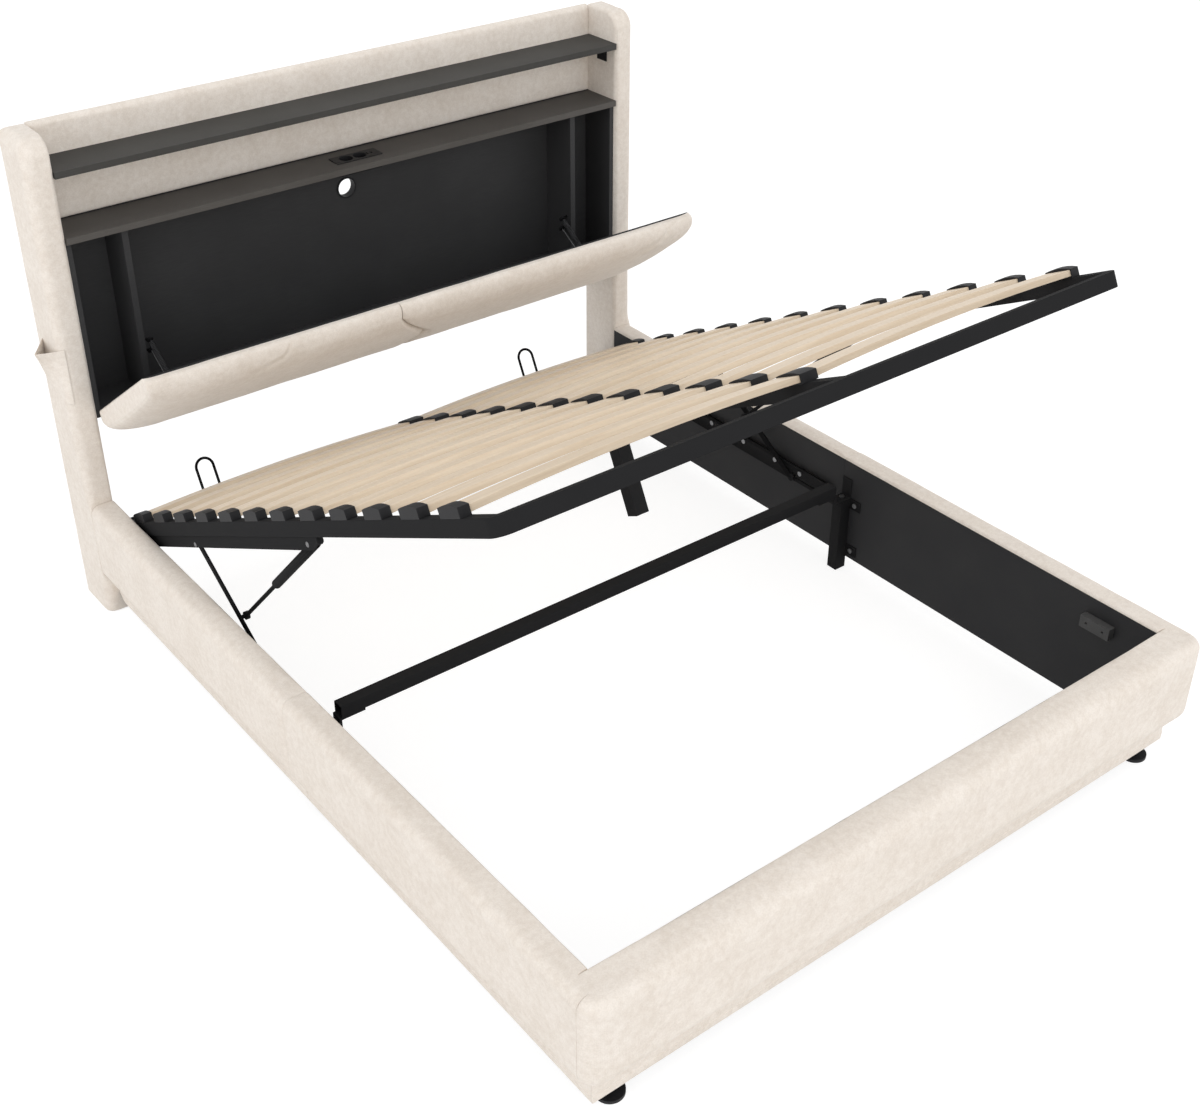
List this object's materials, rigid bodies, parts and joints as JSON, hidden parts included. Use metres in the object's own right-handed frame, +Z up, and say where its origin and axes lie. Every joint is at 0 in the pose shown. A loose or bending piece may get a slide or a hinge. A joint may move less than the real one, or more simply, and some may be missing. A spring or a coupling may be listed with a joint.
{
  "type": "upholstered storage bed",
  "caption": "Cream upholstered double bed with a lift-up slat platform over storage, a winged shelf headboard with a drop-down padded flap, and a side pocket.",
  "frame": {"origin": "middle of the footprint, on the floor", "axes": "+X to the right seen from the foot, +Y from foot to headboard, +Z up"},
  "size_m": [1.816, 2.23, 1.292],
  "materials": {
    "cream_fabric": "short-pile woven upholstery",
    "black_board": "black laminated board",
    "post_wood": "plain timber under the cloth",
    "grey_shelf": "dark warm-grey laminate",
    "birch": "lacquered bent birch",
    "black_plastic": "fine-grained black plastic",
    "bare_steel": "zinc-plated steel",
    "black_steel": "black powder coat"
  },
  "bodies": {
    "frame": {"back_board": "black_board", "back_cover": "cream_fabric", "box_back": "black_board", "box_bottom": "black_board", "box_dividers": "black_board", "box_sides": "black_board", "box_top": "grey_shelf", "cable_grommet": "black_plastic", "crossbar": "black_steel", "crossbar_legs": "black_steel", "flap_check_wires": "bare_steel", "flap_hinge_fixed": "bare_steel", "flap_springs": "black_steel", "flap_studs": "bare_steel", "footboard_core": "black_board", "footboard_cover": "cream_fabric", "frame_bolts": "bare_steel", "glide_feet": "black_plastic", "lift_base_left": "black_steel", "lift_base_right": "black_steel", "power_module": "black_plastic", "rail_core_foot_left": "black_board", "rail_core_foot_right": "black_board", "rail_core_head_left": "black_board", "rail_core_head_right": "black_board", "rail_cover_foot_left": "cream_fabric", "rail_cover_foot_right": "cream_fabric", "rail_cover_head_left": "cream_fabric", "rail_cover_head_right": "cream_fabric", "shelf_brackets": "black_steel", "side_pocket": "cream_fabric", "support_blocks": "black_board", "top_shelf": "grey_shelf", "wing_core_left": "post_wood", "wing_core_right": "post_wood", "wing_cover_left": "cream_fabric", "wing_cover_right": "cream_fabric"},
    "platform": {"foot_tube": "black_steel", "side_tube_left": "black_steel", "side_tube_right": "black_steel", "head_tube": "black_steel", "centre_rail": "black_steel", "centre_leg": "black_steel", "slats_left": "birch", "slats_right": "birch", "slat_holders_outer": "black_plastic", "slat_holders_centre": "black_plastic", "mattress_hoop_left": "black_steel", "mattress_hoop_right": "black_steel", "lift_arm_left": "black_steel", "lift_arm_right": "black_steel"},
    "lift_links": {"lift_links": "black_steel"},
    "strut_cylinders": {"strut_cylinders": "black_steel"},
    "strut_rods": {"strut_rods": "bare_steel"},
    "flap": {"flap_board": "black_board", "flap_pad_left": "cream_fabric", "flap_pad_right": "cream_fabric", "flap_hinge_moving": "bare_steel", "flap_lugs": "bare_steel"}
  },
  "joints": [
    {"name": "platform_lift", "type": "hinge", "parent": "frame", "child": "platform", "pos_m": [0, 0.83, 0.215], "axis": [1, 0, 0], "range_deg": [0, 26.9]},
    {"name": "link_swing", "type": "hinge", "parent": "platform", "child": "lift_links", "pos_m": [0, 0.5079, 0.42663], "axis": [1, 0, 0], "range_deg": [-51.4, 0]},
    {"name": "strut_swing", "type": "hinge", "parent": "platform", "child": "strut_cylinders", "pos_m": [0, -0.07798, 0.73059], "axis": [1, 0, 0], "range_deg": [0, 14.4]},
    {"name": "strut_slide", "type": "slide", "parent": "strut_cylinders", "child": "strut_rods", "axis": [0, 0.6978, -0.7162], "range_m": [-0.1325, 0]},
    {"name": "flap_drop", "type": "hinge", "parent": "frame", "child": "flap", "pos_m": [0, 0.974, 0.586], "axis": [1, 0, 0], "range_deg": [-55.3, 0], "deforming": ["flap_springs", "flap_check_wires"]}
  ],
  "couplings": [
    {"joint": "link_swing", "follows": "platform_lift", "ratio": -1.9016},
    {"joint": "strut_swing", "follows": "platform_lift", "ratio": 0.5296},
    {"joint": "strut_slide", "follows": "platform_lift", "m_per_rad": -0.28021}
  ]
}
